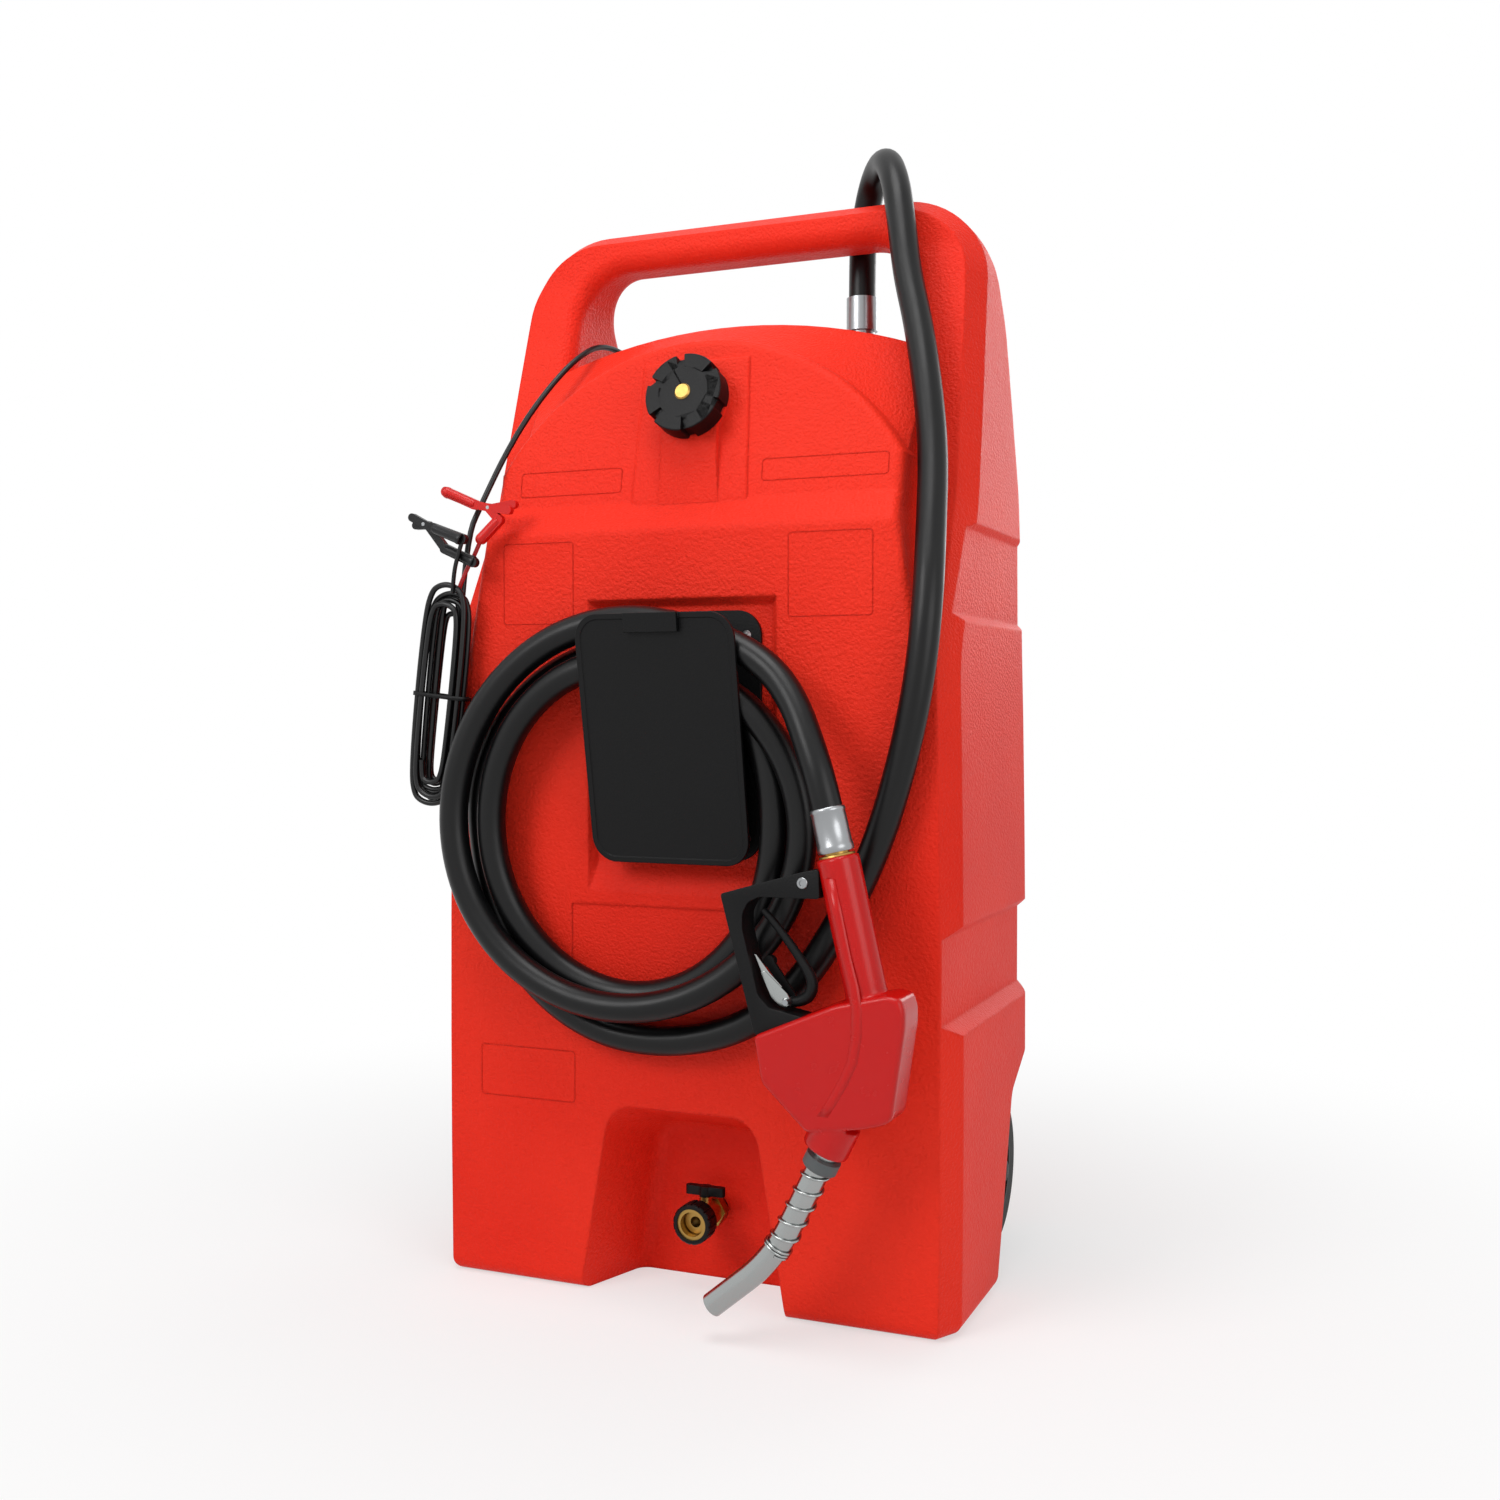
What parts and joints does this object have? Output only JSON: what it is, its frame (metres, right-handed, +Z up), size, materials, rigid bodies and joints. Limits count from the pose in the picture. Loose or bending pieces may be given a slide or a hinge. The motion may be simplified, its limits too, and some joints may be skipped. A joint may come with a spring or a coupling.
{
  "type": "wheeled fuel caddy tank",
  "caption": "Red moulded wheeled fuel caddy with handle loop, domed filler, hose hanger with coiled hose and automatic nozzle, electric pump, drain valve and battery clips.",
  "frame": {"origin": "middle of the floor rectangle under the tank", "axes": "+X to the right as seen from the front, +Y to the back, +Z up"},
  "size_m": [0.6257, 0.503, 1.2595],
  "materials": {
    "tank_red": "grained satin",
    "black_rubber": "satin",
    "tyre_rubber": "matte",
    "black_plastic": "matte",
    "black_cable": "satin",
    "red_cable": "satin",
    "red_vinyl": "gloss",
    "black_vinyl": "satin",
    "red_clip_vinyl": "satin",
    "grey_plastic": "satin",
    "brass": "cast and turned",
    "chrome": "polished",
    "zinc_steel": "zinc plated",
    "pump_paint": "satin",
    "vane_carbon": "matte"
  },
  "bodies": {
    "base": {"tank_shell": "tank_red", "axle": "zinc_steel", "axle_caps": "black_plastic", "hanger_back": "black_plastic", "hanger_front": "black_plastic", "hanger_screws": "zinc_steel", "drain_gasket": "black_rubber", "drain_body": "brass", "pump_body": "pump_paint", "pump_cover": "pump_paint", "cover_screws": "zinc_steel", "pump_bolts": "zinc_steel", "motor_housing": "pump_paint", "motor_cap": "black_plastic", "switch_box": "black_plastic", "cable_gland": "black_plastic", "suction_pipe": "grey_plastic", "suction_strainer": "black_plastic", "outlet_fitting": "zinc_steel", "pump_ferrule": "zinc_steel", "fuel_hose": "black_rubber", "hose_coil": "black_rubber", "hose_tail": "black_rubber", "nozzle_ferrule": "zinc_steel", "power_cable": "black_cable", "cable_hank": "black_cable", "cable_tie": "black_plastic", "red_lead": "red_cable", "black_lead": "black_cable", "red_jaw_fixed": "red_clip_vinyl", "red_clip_pin": "zinc_steel", "black_jaw_fixed": "black_vinyl", "black_clip_pin": "zinc_steel"},
    "right_wheel": {"right_rim": "black_plastic", "right_tyre": "tyre_rubber"},
    "left_wheel": {"left_rim": "black_plastic", "left_tyre": "tyre_rubber"},
    "drain_shutter": {"drain_ball": "chrome", "drain_lever": "black_plastic"},
    "drain_swivel": {"drain_collar": "black_plastic", "drain_nut": "brass"},
    "cap_seal_ring": {"cap_seal": "black_rubber"},
    "cap": {"filler_cap": "black_plastic"},
    "vent": {"vent_pin": "brass"},
    "rotor": {"pump_rotor": "zinc_steel", "rotor_vanes": "vane_carbon"},
    "rocker": {"switch_rocker": "red_vinyl"},
    "nozzle": {"nozzle_swivel": "brass", "nozzle_body": "red_vinyl", "nozzle_guard": "black_plastic", "guard_bolts": "zinc_steel", "spout": "chrome", "spout_collar": "grey_plastic", "spout_spring": "chrome"},
    "trigger_lever": {"trigger": "zinc_steel"},
    "latch": {"trigger_latch": "black_plastic"},
    "red_jaw": {"red_jaw_moving": "red_clip_vinyl"},
    "black_jaw": {"black_jaw_moving": "black_vinyl"}
  },
  "joints": [
    {"name": "right_wheel_spin", "type": "hinge", "parent": "base", "child": "right_wheel", "pos_m": [0.246, 0.16, 0.095], "axis": [1, 0, 0], "continuous": true},
    {"name": "left_wheel_spin", "type": "hinge", "parent": "base", "child": "left_wheel", "pos_m": [-0.246, 0.16, 0.095], "axis": [1, 0, 0], "continuous": true},
    {"name": "drain_lever_turn", "type": "hinge", "parent": "base", "child": "drain_shutter", "pos_m": [0, -0.0785, 0.078], "axis": [0, 0, 1], "range_deg": [0, 90]},
    {"name": "drain_collar_spin", "type": "hinge", "parent": "base", "child": "drain_swivel", "pos_m": [0, -0.1, 0.078], "axis": [0, 1, 0], "continuous": true},
    {"name": "cap_lift", "type": "slide", "parent": "base", "child": "cap_seal_ring", "axis": [0, -0.9703, 0.2419], "range_m": [0, 0.12]},
    {"name": "cap_turn", "type": "hinge", "parent": "cap_seal_ring", "child": "cap", "pos_m": [0, -0.1135, 0.964], "axis": [0, -0.9703, 0.2419], "continuous": true},
    {"name": "vent_pull", "type": "slide", "parent": "cap", "child": "vent", "axis": [0, -0.9703, 0.2419], "range_m": [0, 0.003]},
    {"name": "pump_rotor_spin", "type": "hinge", "parent": "base", "child": "rotor", "pos_m": [0.119, 0.099, 0.968], "axis": [1, 0, 0], "continuous": true},
    {"name": "switch_rock", "type": "hinge", "parent": "base", "child": "rocker", "pos_m": [-0.05, 0.099, 1.035], "axis": [0, 1, 0], "range_deg": [-10, 10]},
    {"name": "nozzle_turn", "type": "hinge", "parent": "base", "child": "nozzle", "pos_m": [0.2049, -0.222, 0.4931], "axis": [-0.225, 0, 0.9744], "range_deg": [0, 90]},
    {"name": "trigger_squeeze", "type": "hinge", "parent": "nozzle", "child": "trigger_lever", "pos_m": [0.1566, -0.222, 0.3502], "axis": [0, 1, 0], "range_deg": [0, 16], "stiffness_Nm_per_rad": 0.8},
    {"name": "latch_swing", "type": "hinge", "parent": "nozzle", "child": "latch", "pos_m": [0.1566, -0.222, 0.3502], "axis": [0, 1, 0], "range_deg": [0, 35], "stiffness_Nm_per_rad": 0.02},
    {"name": "red_clip_open", "type": "hinge", "parent": "base", "child": "red_jaw", "pos_m": [-0.221, -0.16, 0.855], "axis": [0, -1, 0], "range_deg": [0, 25], "stiffness_Nm_per_rad": 0.5},
    {"name": "black_clip_open", "type": "hinge", "parent": "base", "child": "black_jaw", "pos_m": [-0.292, -0.178, 0.838], "axis": [0, -1, 0], "range_deg": [0, 8], "stiffness_Nm_per_rad": 0.5}
  ]
}
